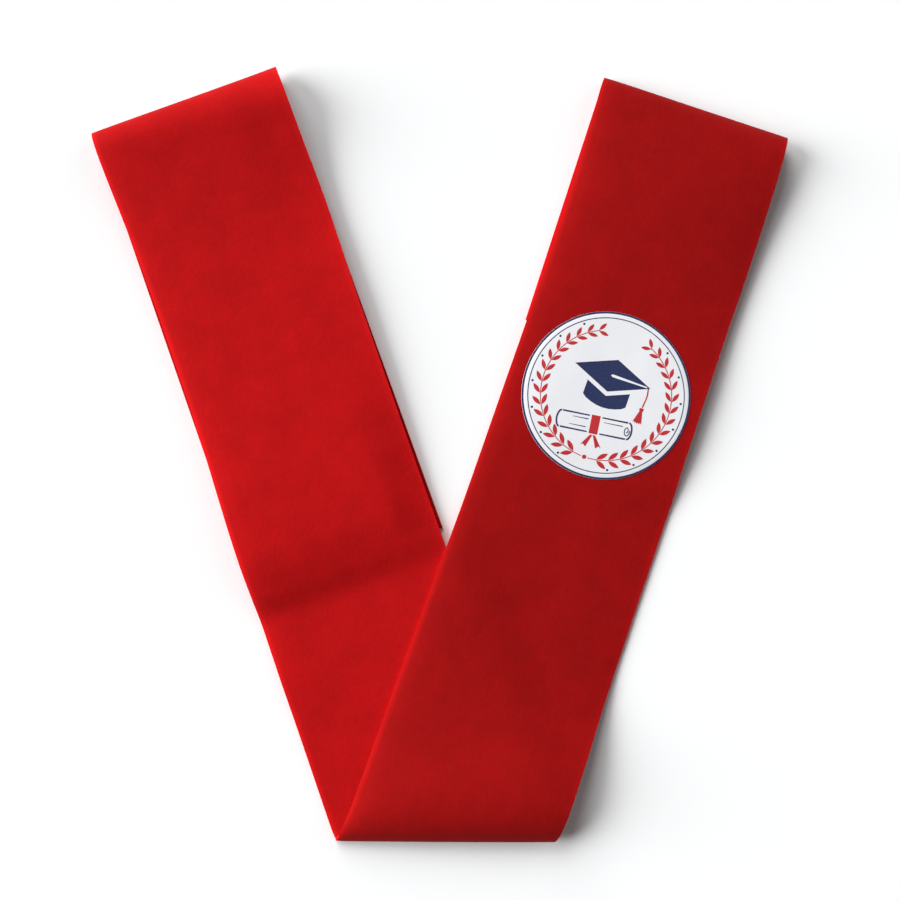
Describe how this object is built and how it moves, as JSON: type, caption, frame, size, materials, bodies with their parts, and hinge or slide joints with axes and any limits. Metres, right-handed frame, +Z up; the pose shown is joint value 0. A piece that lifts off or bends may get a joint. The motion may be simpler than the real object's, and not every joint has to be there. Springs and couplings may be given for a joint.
{
  "type": "graduation stole",
  "caption": "Long flat felt strip folded into a lying V with rolled top folds, its tails tucked underneath and a round printed film badge on one arm.",
  "frame": {"origin": "centre of the stole's box in plan, on the surface that it lies on", "axes": "+Z up from the surface, +Y from the point of the V towards its open end, +X from the plain arm towards the arm with the badge"},
  "size_m": [0.357, 0.39, 0.0162],
  "materials": {
    "red_felt": "matt felt",
    "white_film": "satin",
    "navy_print": "satin"
  },
  "bodies": {
    "root": {"felt_band": "red_felt", "badge_film": "white_film", "badge_border": "navy_print"}
  },
  "joints": []
}
